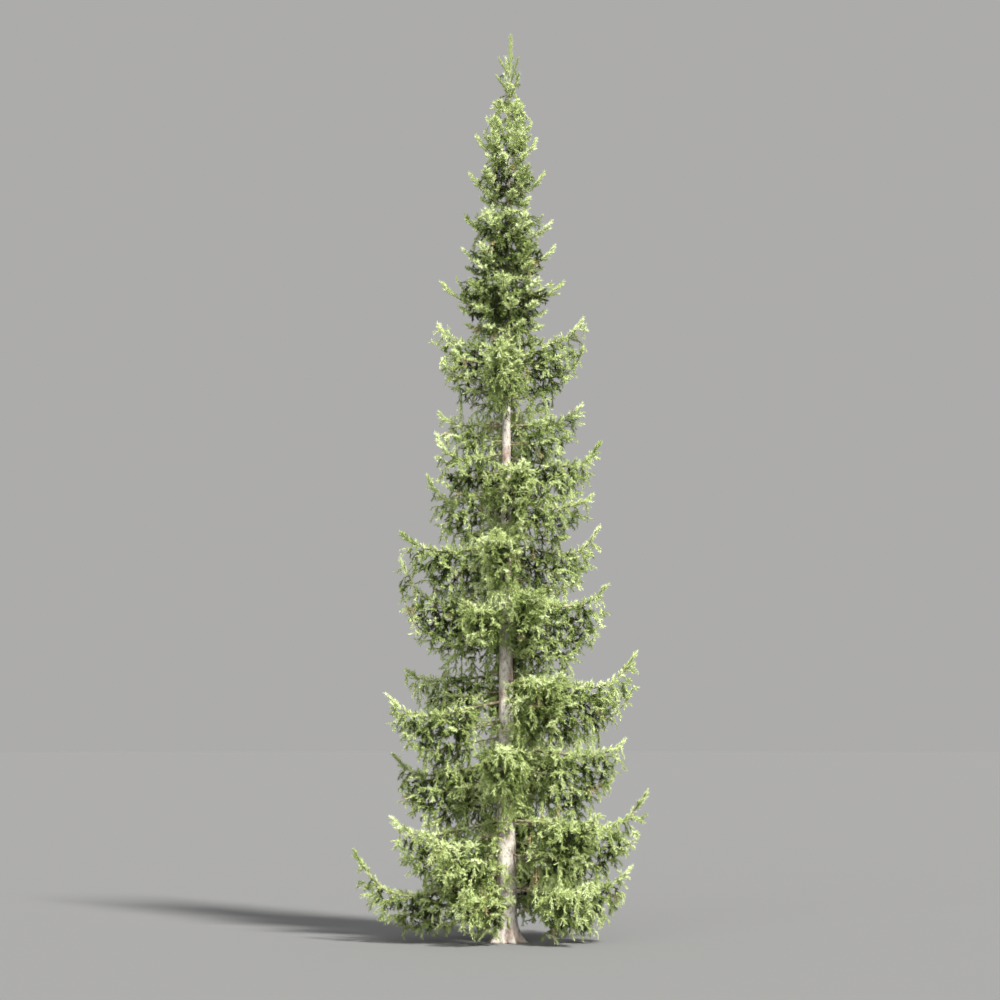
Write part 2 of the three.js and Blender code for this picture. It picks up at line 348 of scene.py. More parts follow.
massNames = sorted(n for n in nodes if n.startswith("needles_"))
skirtNames = [n for n in massNames if n.split("_")[1] in ("eleventh", "twelfth", "thirteenth", "spire")]
masses = []
for name in massNames:
    if name in skirtNames:
        continue
    guide = Guide(name)
    masses.append(guide)
    line = mainLine(guide)
    addBough(guide, line, "main")
    for drop, turn in boughRule["under"]:
        wobble = dice.uniform(-boughRule["underTurn"], boughRule["underTurn"])
        under = underLine(guide, line, drop, turn + wobble)
        if under:
            addBough(guide, under, "under")
skirts = {name: Guide(name) for name in skirtNames}
masses += skirts.values()

sprigs = {  # short boughs straight from the stem, inside the solids
    "from": 0.75,
    "to": 14.2,
    "step": 0.1,
    "reach": (0.4, 0.8),
    "narrowing": (1.1, 0.05),  # the reach at the ground, and how much less for each metre up
    "probe": (0.75, 0.08),  # the solid is looked for at this share of the reach, and this far down
    "sag": 0.28,
    "sagWave": 2.6,
    "uneven": (0.6, 1.4),
}
z = sprigs["from"]
while z < sprigs["to"]:
    out = heading(dice.uniform(0, math.tau))
    wide, narrower = sprigs["narrowing"]
    reach = stemRadius(z) + dice.uniform(*sprigs["reach"]) * (wide - narrower * z)
    share, down = sprigs["probe"]
    near = out * (reach * share) + lift(z - down)
    home = next((g for g in masses if g.holds(near)), None)
    if home:
        line = []
        for t in (0, 0.25, 0.5, 0.75, 1):
            drop = -sprigs["sag"] * reach * math.sin(t * sprigs["sagWave"])
            line.append(stemMiddle(z) + out * reach * t + lift(drop))
        addBough(home, line, "sprig")
    z += sprigs["step"] * dice.uniform(*sprigs["uneven"])

topRule = {
    "tiers": [  # node, height of the tips, how many, height that a bough gains as a share of its reach
        ("needles_eleventh", 11.62, 8, 0.4), ("needles_eleventh", 11.2, 7, 0.2),
        ("needles_eleventh", 10.85, 6, 0.1),
        ("needles_twelfth", 12.26, 6, 0.45), ("needles_twelfth", 11.95, 5, 0.25),
        ("needles_twelfth", 12.8, 6, 0.5),
        ("needles_thirteenth", 13.6, 6, 0.6), ("needles_thirteenth", 13.2, 5, 0.35),
        ("needles_thirteenth", 14.25, 6, 0.7), ("needles_thirteenth", 13.9, 5, 0.45),
        ("needles_spire", 14.55, 6, 0.75), ("needles_spire", 14.9, 5, 0.9),
        ("needles_spire", 15.3, 5, 1.3), ("needles_spire", 15.56, 4, 1.7),
    ],
    "spikesFrom": 15,  # above this height they are straight bare shoots
    "turn": 0.3,  # tiers of an odd number are turned against each other
    "uneven": 0.14,
    "rimDrop": 0.07,  # the rim is taken this far below the tips
    "reach": (0.94, 1.04),
    "proud": 0.02,
    "leastReach": 0.12,
    "tipDrop": (-0.13, -0.02),
    "spikeLift": 0.05,
    "footDrop": 0.08,
    "curve": {"top": 2.8, "spike": 1.15},  # 1 is straight, more turns up late
    "sag": 0.05,
}


def topBoughs(index, guide, height, count, rise):
    kind = "spike" if height > topRule["spikesFrom"] else "top"
    offset = 0 if count % 2 == 0 else topRule["turn"] * index
    for i in range(count):
        angle = math.tau * (i + offset + dice.uniform(-topRule["uneven"], topRule["uneven"])) / count
        reach = guide.rim(angle, height - topRule["rimDrop"])
        if reach is None:
            continue
        reach = max(topRule["leastReach"], reach * dice.uniform(*topRule["reach"]) + topRule["proud"])
        raised = topRule["spikeLift"] if kind == "spike" else 0
        tip = heading(angle) * reach + lift(height + dice.uniform(*topRule["tipDrop"]) + raised)
        foot = stemMiddle(height - reach * rise - topRule["footDrop"])
        line = [foot]
        for share in (0.3, 0.55, 0.75, 0.9, 1):
            line.append(foot.lerp(tip, share))
            gained = share ** topRule["curve"][kind]
            sag = topRule["sag"] * reach * math.sin(share * math.pi)
            line[-1].z = foot.z + (tip.z - foot.z) * gained - sag
        addBough(guide, line, kind)


for index, (name, height, count, rise) in enumerate(topRule["tiers"]):
    topBoughs(index, skirts[name], height, count, rise)
print("boughs:", len(boughs))

crown = {  # where sprays grow
    "step": 0.145,  # spacing of the sprays
    "luckPrimes": (7919, 104729, 1299709),  # give each cell of that spacing a luck of its own
    "inset": 0.015,
    "clear": 0.05,  # sprays keep this far from the stem
    "bridge": 0.72,  # narrow seams between the solids are grown over, up to this share of the reach
    "skin": 0.22,  # sprays thin out this far under a solid's surface
    "inner": 0.5,  # share of the sprays kept there
    "outer": 0.88,  # share of the reach where the tips begin
    "close": 0.15,  # there the sprays stay this near to a bough
    "loose": 0.7,  # and this share of the others is kept
    "last": 0.985,  # share of the reach where they end and the leading shoot stands alone
    "skirtCore": 0.5,  # in the narrow top all are kept out to this share of its rim
    "skirtRim": 0.84,  # and none beyond this
    "skirtClose": 0.17,  # between the two those this near to a bough
    "skirtLoose": 0.3,  # and this share of the others
    "hanging": 0.6,  # what hangs below a bough counts as nearer, by this factor
}
collar = {  # sprays that close in on the stem between the solids
    "from": 0.5,
    "to": 11,
    "step": 0.0065,
    "reach": 0.55,
    "near": 0.42,  # only where a solid is no farther than this
    "front": -0.3,  # the front is where a direction's y is less than this
    "open": (  # heights where the front of the stem stays in view
        (0.0, 0.95), (1.4, 1.9), (3.8, 5.1), (6.0, 6.6), (7.8, 9.6), (10.1, 10.8),
    ),
}


def cellPlaces(guide):  # (cell, place) for every spray that the solid holds
    low, high = guide.corners
    step = crown["step"]
    first = [math.floor((low[i] - cadBox[0][i]) / step) for i in range(3)]
    last = [math.ceil((high[i] - cadBox[0][i]) / step) for i in range(3)]
    for cell in itertools.product(*(range(a, b + 1) for a, b in zip(first, last))):
        luck = random.Random(sum(n * prime for n, prime in zip(cell, crown["luckPrimes"])))
        place = Vector([cadBox[0][i] + (cell[i] + luck.random()) * step for i in range(3)])
        if guide.holds(place, crown["inset"]):
            yield cell, place


def seamPlaces(filled):  # one or two empty cells between a filled one and the next below
    seams = {}
    for (i, j, k), (guide, place) in filled.items():
        if (i, j, k - 1) in filled or fromAxis(place) >= crown["bridge"] * guide.reach:
            continue
        if (i, j, k - 2) in filled or (i, j, k - 3) in filled:
            seams[i, j, k - 1] = (guide, place - lift(crown["step"]))
        if (i, j, k - 2) not in filled and (i, j, k - 3) in filled:
            seams[i, j, k - 2] = (guide, place - lift(2 * crown["step"]))
    return seams


def collarPlaces():
    found = []
    z = collar["from"]
    while z < collar["to"]:
        z += collar["step"]
        out = heading(dice.uniform(0, math.tau))
        place = out * dice.uniform(stemRadius(z) + crown["clear"], collar["reach"]) + lift(z)
        inView = out.y < collar["front"] and any(low < z < high for low, high in collar["open"])
        home = min(masses, key=lambda g: g.away(place))
        if home.away(place) < collar["near"] and not inView and not any(g.holds(place) for g in masses):
            found.append((home, place))
    return found


def nearBough(guide, place, most):
    for b in boughs:
        if b["guide"] is guide:
            for p in b["line"]:
                drop = (p.z - place.z) * (crown["hanging"] if p.z > place.z else 1)
                if math.hypot(p.x - place.x, p.y - place.y, drop) < most:
                    return True
    return False


def keepShare(guide, place):  # the chance that a spray grows at a place
    far = fromAxis(place)
    if far < stemRadius(place.z) + crown["clear"]:
        return 0
    if guide.name in skirtNames:
        rim = guide.rim(math.atan2(place.y, place.x), place.z) or guide.reach
        if far < crown["skirtCore"] * rim:
            return 1
        if far > crown["skirtRim"] * rim:
            return 0
        return 1 if nearBough(guide, place, crown["skirtClose"]) else crown["skirtLoose"]
    if far > crown["last"] * guide.reach:
        return 0
    if far > crown["outer"] * guide.reach and not nearBough(guide, place, crown["close"]):
        return crown["loose"]
    return crown["inner"] if guide.depth(place) > crown["skin"] else 1


shoots = []  # (start, end, spray, vigour): a straight needle-clad piece of twig
twigs = []  # (start, end, radius at the start, radius at the end)
sprays = []  # (place, how far out, how deep): the tone of a spray is dealt from these


def newSpray(place, outness, depth=0.0):
    sprays.append((place.copy(), outness, depth))
    return len(sprays) - 1


def clad(a, b, spray, vigour=1.0, thick=0.002, thin=0.0):
    if min(a.z, b.z) > 0.03:  # nothing grows into the ground
        shoots.append((a, b, spray, vigour))
        twigs.append((a, b, thick, thin))


def aside(way, angle):  # a direction square to way
    side = way.cross(lift(1))
    if side.length < 0.05:
        side = Vector((1, 0, 0))
    side.normalize()
    other = way.cross(side).normalized()
    return side * math.cos(angle) + other * math.sin(angle)


sideShoot = {
    "step": 0.048,
    "uneven": (0.75, 1.25),
    "length": (0.055, 0.11),
    "lean": (34, 56),  # degrees between a side shoot and its twig
    "turn": 0.8,
    "radius": 0.0016,
}


def sideShoots(a, b, spray, rise, size=1.0):
    way, length = (b - a).normalized(), (b - a).length
    s = dice.uniform(0.1, 1.0) * sideShoot["step"]
    turn = dice.uniform(0, math.tau)
    while s < length:
        turn += math.pi + dice.uniform(-sideShoot["turn"], sideShoot["turn"])
        lean = math.radians(dice.uniform(*sideShoot["lean"]))
        out = way * math.cos(lean) + aside(way, turn) * math.sin(lean) + lift(rise)
        start = a + way * s
        tip = start + out.normalized() * dice.uniform(*sideShoot["length"]) * size
        clad(start, tip, spray, 1.0, sideShoot["radius"])
        s += sideShoot["step"] * dice.uniform(*sideShoot["uneven"])


twigRule = {
    "step": 0.13,
    "knots": 12,  # room kept for each twig's knots
    "bendOut": 0.75,  # a twig sets out level, and bends to its end at about this share of its run
    "bendRise": 0.06,
    "clothed": 0.26,  # length of twig, back from its end, that carries side shoots
    "short": 0.35,  # a shorter twig carries them all along
    "endShoot": (0.06, 0.1),
    "outward": 0.3,
    "hang": -0.6,  # slope added to the shoots deep in a mass
    "level": (0.5, 0.6),  # added to it in a mass's top layer, everywhere and more towards the rim
    "topLayer": 0.2,
    "radius": (0.0015, 0.004, 0.001),  # at the start, for each metre of twig, left at the end
    "endVigour": 1.15,
    "endSize": 0.3,  # share by which the last side shoots are shorter
    "fromBelow": 0.6,  # counted as extra length for each metre that a start is below its spray
    "fromOutside": 0.7,  # the same for each metre that it is farther out
    "bare": 0.02,  # no twig starts nearer than this to the stem's surface
}


def arc(start, end):
    level = Vector((end.x - start.x, end.y - start.y, 0))
    bend = start + level * twigRule["bendOut"] + lift(twigRule["bendRise"] * (end.z - start.z))
    count = max(2, round((end - start).length / twigRule["step"]))
    shares = [i / count for i in range(count + 1)]
    return [start * (1 - t) ** 2 + bend * 2 * t * (1 - t) + end * t * t for t in shares]


def growTwig(start, end, guide):  # returns its knots, from which other twigs may start
    path = arc(start, end)
    outness = min(1, fromAxis(end) / guide.reach)
    roof = guide.roof(end.x, end.y)
    shallow = max(0, 1 - (roof - end.z) / twigRule["topLayer"]) if roof else 0
    spray = newSpray(end, outness, guide.depth(end))
    way = (path[-1] - path[-2]).normalized()
    plain, atRim = twigRule["level"]
    rise = twigRule["hang"] + (plain + atRim * outness) * shallow
    out = Vector((end.x, end.y, 0)).normalized()
    ahead = (way + out * twigRule["outward"] + lift(rise)).normalized()
    path.append(end + ahead * dice.uniform(*twigRule["endShoot"]))
    whole = sum((q - p).length for p, q in zip(path, path[1:]))
    base, perLength, fine = twigRule["radius"]
    thick, gone = base + perLength * whole, 0.0
    for p, q in zip(path, path[1:]):
        piece = (q - p).length
        share, gone = gone / whole, gone + piece
        last = q is path[-1]
        radii = (thick * (1 - share) + fine, 0 if last else thick * (1 - gone / whole) + fine)
        if whole - gone < twigRule["clothed"] or whole < twigRule["short"]:
            clad(p, q, spray, twigRule["endVigour"] if last else 1.0, *radii)
            sideShoots(p, q, spray, rise, 1.0 - twigRule["endSize"] * last)
        else:
            twigs.append((p, q, *radii))
    return path[1:-1]


def growMass(guide, ends):  # each twig starts at the nearest wood, the nearest sprays first
    knots = [p for b in boughs if b["guide"] is guide for p in b["line"]
             if fromAxis(p) > stemRadius(p.z) + twigRule["bare"]]
    known = np.zeros((len(knots) + twigRule["knots"] * len(ends), 3))
    known[:len(knots)] = [list(p) for p in knots]
    count = len(knots)
    order = [(np.linalg.norm(known[:count] - np.array(p), axis=1).min(), i) for i, p in enumerate(ends)]
    for _, i in sorted(order):
        end = np.array(ends[i])
        spots = known[:count]
        cost = np.linalg.norm(spots - end, axis=1)
        cost += twigRule["fromBelow"] * np.maximum(0, end[2] - spots[:, 2])
        farther = np.hypot(spots[:, 0], spots[:, 1]) - math.hypot(end[0], end[1])
        cost += twigRule["fromOutside"] * np.maximum(0, farther)
        for p in growTwig(Vector(spots[cost.argmin()]), ends[i], guide):
            known[count] = p
            count += 1


filled = {}
for guide in masses:
    for cell, place in cellPlaces(guide):
        filled[cell] = (guide, place)
seams = seamPlaces(filled)
print("spray places:", len(filled), "over seams:", len(seams))
closing = collarPlaces()
print("collar:", len(closing))
ends = {guide.name: [] for guide in masses}
for guide, place in list(filled.values()) + list(seams.values()) + closing:
    if dice.random() < keepShare(guide, place):
        ends[guide.name].append(place)
for guide in masses:
    growMass(guide, ends[guide.name])

leaderRule = {  # the straight leading shoot of a bough, by kind of bough
    "length": {"main": 0.36, "under": 0.15, "top": 0.38, "spike": 0.4, "sprig": 0.1},
    "most": 0.4,  # share of the bough that it may take
    "spikeMost": 0.9,
    "vigour": 2.5,
    "outness": {"main": 1.1, "under": 1.1, "top": 1.1, "spike": 1.3, "sprig": 1.1},
    "pieces": 3,
    "radius": (0.003, 0.002),
    "prongs": ((0.95, 0.2), (0.6, 0.16), (0.3, 0.1)),  # (share of it from there to the tip, length)
    "prongVigour": 1.9,
    "prongSize": (0.8, 1.15),
    "prongTurn": 0.5,
    "prongWay": (0.7, 0.65),  # along the bough, and to the side
}
fingerRule = {  # upturned side shoots, shorter towards the tip
    "share": {"main": 0.65, "under": 0.0, "top": 0.6, "spike": 0.0, "sprig": 0.0},  # of its length
    "step": 0.13,
    "uneven": (0.8, 1.2),
    "length": (0.13, 0.26),
    "shorter": 0.45,
    "topSize": 0.8,
    "forward": (0.7, 0.6),  # pull of the bough's own direction on each half
    "side": 0.7,
    "halves": (0.5, 0.6),  # their lengths, as shares
    "rise": 0.15,  # slope of the first half
    "turnUp": (0.5, 0.04),  # slope of the second, and what each metre of height adds
    "vigour": (1.7, 2.1),
    "radius": (0.003, 0.002),
    "shootRise": 0.1,
}
ownNeedles = {  # on the bough itself
    "from": 0.18,  # share of its length where they start
    "toneAt": 0.7,
    "outness": 0.6,
    "vigour": 0.8,
    "shootRise": 0.1,
}


def growLeader(track, kind, leader, spray):
    marks = np.linspace(track.total - leader, track.total, leaderRule["pieces"] + 1)
    for low, high in zip(marks, marks[1:]):
        clad(track.at(low), track.at(high), spray, leaderRule["vigour"], *leaderRule["radius"])
    if kind == "spike":
        return
    ahead, across = leaderRule["prongWay"]
    for share, length in leaderRule["prongs"]:
        mark = track.total - share * leader
        for sign in (-1, 1):
            turn = dice.uniform(-leaderRule["prongTurn"], leaderRule["prongTurn"])
            way = track.along(mark) * ahead + aside(track.along(mark), turn) * sign * across
            size = dice.uniform(*leaderRule["prongSize"])
            prong = way.normalized() * length * size * leader / leaderRule["length"]["main"]
            clad(track.at(mark), track.at(mark) + prong, spray, leaderRule["prongVigour"])


def growFingers(track, kind, leader):
    s = track.total * (1 - fingerRule["share"][kind])
    side = dice.choice((-1, 1))
    first, second = fingerRule["halves"]
    ahead, onward = fingerRule["forward"]
    slope, perHeight = fingerRule["turnUp"]
    while s < track.total - leader:
        way = track.along(s)
        side = -side
        level = way * ahead + aside(way, 0) * side * fingerRule["side"]
        length = dice.uniform(*fingerRule["length"]) * (1 - fingerRule["shorter"] * s / track.total)
        length *= fingerRule["topSize"] if kind == "top" else 1.0
        middle = track.at(s) + (level + lift(fingerRule["rise"])).normalized() * length * first
        bent = level * onward + lift(slope + perHeight * middle.z)
        end = middle + bent.normalized() * length * second
        spray = newSpray(end, 1.0)
        clad(track.at(s), middle, spray, fingerRule["vigour"][0], *fingerRule["radius"])
        clad(middle, end, spray, fingerRule["vigour"][1])
        sideShoots(track.at(s), middle, spray, fingerRule["shootRise"])
        s += fingerRule["step"] * dice.uniform(*fingerRule["uneven"])


def growTip(b):
    line, kind = b["line"], b["kind"]
    track = Track(line)
    most = leaderRule["spikeMost"] if kind == "spike" else leaderRule["most"]
    leader = min(leaderRule["length"][kind], track.total * most)
    growLeader(track, kind, leader, newSpray(line[-1], leaderRule["outness"][kind]))
    growFingers(track, kind, leader)
    start = ownNeedles["from"] * track.total
    first = next((i for i, mark in enumerate(track.marks) if mark > start), 0)
    spray = newSpray(track.at(ownNeedles["toneAt"] * track.total), ownNeedles["outness"])
    for p, q, mark in zip(line[first:], line[first + 1:], track.marks[first:]):
        if mark < track.total - leader:
            shoots.append((p, q, spray, ownNeedles["vigour"]))
            sideShoots(p, q, spray, ownNeedles["shootRise"])


for b in boughs:
    growTip(b)

peak = {  # needles on the last of the stem, and the leading shoot of the tree
    "from": 14.3,
    "shootFrom": 15.4,
    "steps": 16,
    "short": 0.03,  # how far below the top of the solids it ends
    "vigour": 2.6,
    "shootVigour": 4.5,
    "sprayAt": 15.6,
    "outness": 1.6,
    "radius": (0.004, 0.003),
}
spray = newSpray(stemMiddle(peak["sprayAt"]), peak["outness"])
heights = np.linspace(peak["from"], cadBox[1].z - peak["short"], peak["steps"])
for low, high in zip(heights, heights[1:]):
    vigour = peak["shootVigour"] if low > peak["shootFrom"] else peak["vigour"]
    clad(stemMiddle(low), stemMiddle(high), spray, vigour, *peak["radius"])
length = sum((b - a).length for a, b, _, _ in shoots)
print("shoots:", len(shoots), "metres:", round(length), "sprays:", len(sprays))

needle = {
    "length": 0.045,
    "width": 0.0128,
    "innerSize": 1.4,  # deep in the crown the needles are coarser, so the inside closes up, and their tones are darkened there as painted shade
    "innerDepth": 0.15,
    "count": 960000,
    "fewest": 3,  # on the shortest shoot
    "spare": 0.8,  # up to this many more by luck
    "spiral": 2.39996,  # turn from one needle to the next, the golden angle
    "forward": 48,  # degrees between a needle and its shoot
    "uneven": 9,
    "closing": 22,  # fewer degrees at the end of the shoot
    "rise": 0.12,
    "twist": 0.5,
    "sizes": (0.86, 0.28),  # the least, and how much more by luck
    "clear": 0.012,  # lowest height of a tip over the ground
    "pieceMost": 190000,
    "tones": [  # name, colour
        # the lightest tone is the paler new growth and a painted highlight in one; the lighter and darker
        # tones are dealt partly as painted light and shade by toneRule
        ("fresh_and_lit", shade(224, 236, 184)),
        ("sunlit", shade(204, 218, 156)),
        ("mid", shade(170, 187, 118)),
        ("deep", shade(112, 130, 68)),
        ("shaded", shade(54, 66, 28)),
        ("faded", shade(170, 158, 118)),
    ],
}
toneRule = {  # how light a spray's tone is: random drift and luck, lighter towards the rim partly for the paler new growth and partly as painted light, and darker deep inside the crown as painted shade
    "plain": 0.64,
    "drift": 0.28,
    "waves": ((1.4, 0.9), (5.3, 0.5)),  # of that drift: how close, and how strong
    # lighter towards the rim: partly the paler new growth, partly painted light
    "outness": 0.26,
    "middle": 0.6,
    "luck": 0.42,
    # painted shade: how much darker a spray gets for each metre under its solid's surface
    "depth": 2.1,
    "sunnyTop": (9, 7),  # from this height on, and over this many metres, the crown stands in the light
    "steps": (0.84, 0.62, 0.4, 0.2),  # the least for each tone but the darkest
    "fadedLuck": 0.99,
}


def toneOf(place, outness, depth, luck):
    drift = sum(noise.noise(place * close) * strong for close, strong in toneRule["waves"])
    low, span = toneRule["sunnyTop"]
    outness = max(outness, (place.z - low) / span)
    value = toneRule["plain"] + toneRule["drift"] * drift
    # lighter towards the rim, partly new growth and partly painted light
    value += toneRule["outness"] * (outness - toneRule["middle"])
    value += toneRule["luck"] * (luck - 0.5)
    # painted shade: sprays deep in the crown are dealt darker tones
    value -= toneRule["depth"] * depth
    if luck > toneRule["fadedLuck"] and outness < 1:
        return len(needle["tones"]) - 1
    return next((i for i, least in enumerate(toneRule["steps"]) if value > least), len(toneRule["steps"]))


def joined(name, corners, finish):  # corners: faces x 3 x 3
    mesh = bpy.data.meshes.new(name)
    count = len(corners)
    mesh.vertices.add(count * 3)
    mesh.vertices.foreach_set("co", corners.astype(np.float32).ravel())
    mesh.loops.add(count * 3)
    mesh.loops.foreach_set("vertex_index", np.arange(count * 3, dtype=np.int32))
    mesh.polygons.add(count)
    mesh.polygons.foreach_set("loop_start", np.arange(0, count * 3, 3, dtype=np.int32))
    mesh.update(calc_edges=True)
    mesh.materials.append(finish)
    piece = placed(name, mesh)
    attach(piece, "root")
    return piece


def inPieces(name, faces, finish, lettered):  # joined meshes, each a layer of the tree
    faces = faces[np.argsort(faces[:, 0, 2], kind="stable")]
    parts = max(1, math.ceil(len(faces) / needle["pieceMost"]))
    made = []
    for letter, share in zip("abcdef", np.array_split(faces, parts)):
        made.append(joined(name + ("_" + letter if lettered or parts > 1 else ""), share, finish))
    return made


def unit(rows):
    return rows / np.maximum(np.linalg.norm(rows, axis=1, keepdims=True), 1e-9)


def squareTo(way):  # two directions square to each way and to each other
    upright = np.abs(way[:, 2:3]) > 0.9
    first = unit(np.cross(way, np.where(upright, np.array([[1.0, 0, 0]]), np.array([[0, 0, 1.0]]))))
    return first, np.cross(way, first)


def needleFaces(starts, ends, vigour, coarse, perMetre, chance):
    axis = ends - starts
    length = np.linalg.norm(axis, axis=1)
    wanted = length * perMetre * vigour + chance.random(len(length)) * needle["spare"]
    count = np.maximum(needle["fewest"], np.rint(wanted)).astype(int)
    owner = np.repeat(np.arange(len(length)), count)
    order = np.arange(len(owner)) - np.repeat(np.cumsum(count) - count, count)
    along = (order + chance.random(len(owner))) / count[owner]
    way = unit(axis)[owner]
    first, second = squareTo(way)
    turn = order * needle["spiral"] + owner * 1.7
    out = first * np.cos(turn)[:, None] + second * np.sin(turn)[:, None]
    uneven = chance.normal(0, needle["uneven"], len(owner))
    lean = np.radians(needle["forward"] + uneven - needle["closing"] * along ** 4)
    blade = way * np.cos(lean)[:, None] + out * np.sin(lean)[:, None]
    blade[:, 2] += needle["rise"]
    blade = unit(blade)
    across = np.cross(way, out) + out * chance.normal(0, needle["twist"], len(owner))[:, None]
    across = unit(across - blade * np.sum(across * blade, axis=1, keepdims=True))
    least, more = needle["sizes"]
    stature = (np.sqrt(vigour) * coarse)[owner]
    size = needle["length"] * (least + more * chance.random(len(owner))) * stature
    half = needle["width"] / 2 * coarse[owner][:, None]
    root = starts[owner] + axis[owner] * along[:, None]
    tip = root + blade * size[:, None]
    tip[:, 2] = np.maximum(tip[:, 2], needle["clear"])
    return np.stack([root - across * half, root + across * half, tip], axis=1)


chance = np.random.default_rng(5)
sprayTones = [toneOf(*spray, dice.random()) for spray in sprays]
starts = np.array([list(a) for a, _, _, _ in shoots])
ends = np.array([list(b) for _, b, _, _ in shoots])
vigour = np.array([v for _, _, _, v in shoots])
tones = np.array([sprayTones[s] for _, _, s, _ in shoots])
depths = np.array([sprays[s][2] for _, _, s, _ in shoots])
coarse = np.where(depths > needle["innerDepth"], needle["innerSize"], 1.0)
perMetre = needle["count"] / float(np.sum(np.linalg.norm(ends - starts, axis=1) * vigour))
print("needles to a metre:", round(perMetre))
for index, (toneName, colour) in enumerate(needle["tones"]):
    picked = np.nonzero(tones == index)[0]
    finish = Finish("needles " + toneName, 0.62)
    finish.feed("Base Color", colour)
    faces = needleFaces(starts[picked], ends[picked], vigour[picked], coarse[picked], perMetre, chance)
    for piece in inPieces("needles_" + toneName, faces, finish.material, False):
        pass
    print("needles", toneName, len(faces))
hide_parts(*massNames)


def twigFaces(sticks):  # three-sided, or one flat thorn where the end is a point
    a = np.array([list(s[0]) for s in sticks])
    b = np.array([list(s[1]) for s in sticks])
    thick = np.array([s[2] for s in sticks])[:, None]
    thin = np.array([s[3] for s in sticks])[:, None]
    first, second = squareTo(unit(b - a))
    low, high = [[end + (first * math.cos(t) + second * math.sin(t)) * radius
                  for t in (0, math.tau / 3, -math.tau / 3)] for end, radius in ((a, thick), (b, thin))]
    blunt = thin[:, 0] > 0
    faces = [np.stack([low[0], low[1], b], 1)[~blunt]]
    for i, j in ((0, 1), (1, 2), (2, 0)):
        faces.append(np.stack([low[i], low[j], high[j]], 1)[blunt])
        faces.append(np.stack([low[i], high[j], high[i]], 1)[blunt])
    return np.concatenate(faces)


twigFinish = Finish("twig bark", 0.85)
grain = twigFinish.node("ShaderNodeTexCoord", output=3)
blotch = twigFinish.node("ShaderNodeTexNoise", Vector=grain, Scale=9.0, Detail=3.0)
twigFinish.feed("Base Color", twigFinish.mix(blotch, shade(122, 96, 70), shade(158, 138, 108)))
faces = twigFaces(twigs)
for piece in inPieces("twigs", faces, twigFinish.material, True):
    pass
print("twig faces", len(faces))


def boughPiece():
    curve = bpy.data.curves.new("boughs", "CURVE")
    curve.dimensions = "3D"
    curve.bevel_depth = 1.0
    curve.bevel_resolution = 1
    curve.use_fill_caps = True
    for b in boughs:
        line = b["line"]
        spline = curve.splines.new("POLY")
        spline.points.add(len(line) - 1)
        slimmer = 1.0 if b["kind"] == "main" else boughRule["slimmer"]
        thick = boughRule["thickness"] * b["reach"] * slimmer + boughRule["footRadius"]
        for i, (point, p) in enumerate(zip(spline.points, line)):
            share = i / (len(line) - 1)
            point.co = (*p, 1)
            point.radius = thick * (1 - share) ** boughRule["taper"] + boughRule["tipRadius"] * share
    holder = placed("boughs_curve", curve)
    bpy.context.view_layer.update()
    mesh = bpy.data.meshes.new_from_object(holder.evaluated_get(bpy.context.evaluated_depsgraph_get()))
    bpy.data.objects.remove(holder)
    return placed("boughs", mesh)


boughFinish = Finish("bough bark", 0.9)
grain = boughFinish.node("ShaderNodeTexCoord", output=3)
blotch = boughFinish.node("ShaderNodeTexNoise", Vector=grain, Scale=14.0, Detail=5.0, Roughness=0.65)
spots = boughFinish.node(
    "ShaderNodeValToRGB", {"stops": [(0.4, shade(98, 80, 64)), (0.6, shade(158, 148, 128))]}, Fac=blotch)
boughFinish.feed("Base Color", spots)
bump = boughFinish.node("ShaderNodeBump", Height=blotch, Strength=0.5, Distance=0.004)
boughFinish.feed("Normal", bump)
piece = boughPiece()
piece.data.materials.clear()
piece.data.materials.append(boughFinish.material)
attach(piece, "root")
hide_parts(*[n for n in nodes if n.startswith("bough_")])
print("bough faces", len(piece.data.polygons))

trunkSkin = {
    "around": 64,
    "ringStep": 0.036,
    "valley": 0.1,  # share of the flare's spread that is left between two buttresses
    "ridge": 0.95,
    "ridgePower": 2.2,
    "toes": 0.35,
    "toeWaves": 2.2,
    "plateWidth": 0.05,
    "plateHeight": 0.1,
    "bend": 0.6,
    "bendWaves": 9,
    "crackSlope": 2.6,
    "relief": 0.007,
    "fullRelief": 0.12,  # the relief fades on a thinner stem
    "sunk": 0.6,  # share of the relief that lies under the plain surface
    "swell": 0.05,
    "swellWaves": (5, 1.6),  # around and along the stem
}


def flare(angle, z):  # what the buttresses and toes add to the radius
    fade = max(0, 1 - z / stem["flareHeight"]) ** stem["flareFade"]
    wave = 0.5 + 0.5 * math.cos(angle * stem["buttresses"] - stem["flareTurn"])
    ridge = trunkSkin["valley"] + trunkSkin["ridge"] * wave ** trunkSkin["ridgePower"]
    around = trunkSkin["toeWaves"]
    toes = noise.noise(Vector((math.cos(angle) * around, math.sin(angle) * around, z * 2)))
    return stem["flareSpread"] * fade * (ridge + trunkSkin["toes"] * toes)


def relief(place, radius):  # bark scales with cracks between them, on a slowly swelling stem
    wide, tall = trunkSkin["plateWidth"], trunkSkin["plateHeight"]
    scaled = Vector((place.x / wide, place.y / wide, place.z / tall))
    scaled += noise.noise_vector(place * trunkSkin["bendWaves"]) * trunkSkin["bend"]
    near = noise.voronoi(scaled)[0]
    crack = min(1.0, (near[1] - near[0]) * trunkSkin["crackSlope"])
    around, along = trunkSkin["swellWaves"]
    swell = noise.noise(Vector((place.x * around, place.y * around, place.z * along)))
    size = trunkSkin["relief"] * min(1, radius / trunkSkin["fullRelief"])
    return size * (crack - trunkSkin["sunk"]) + trunkSkin["swell"] * radius * swell


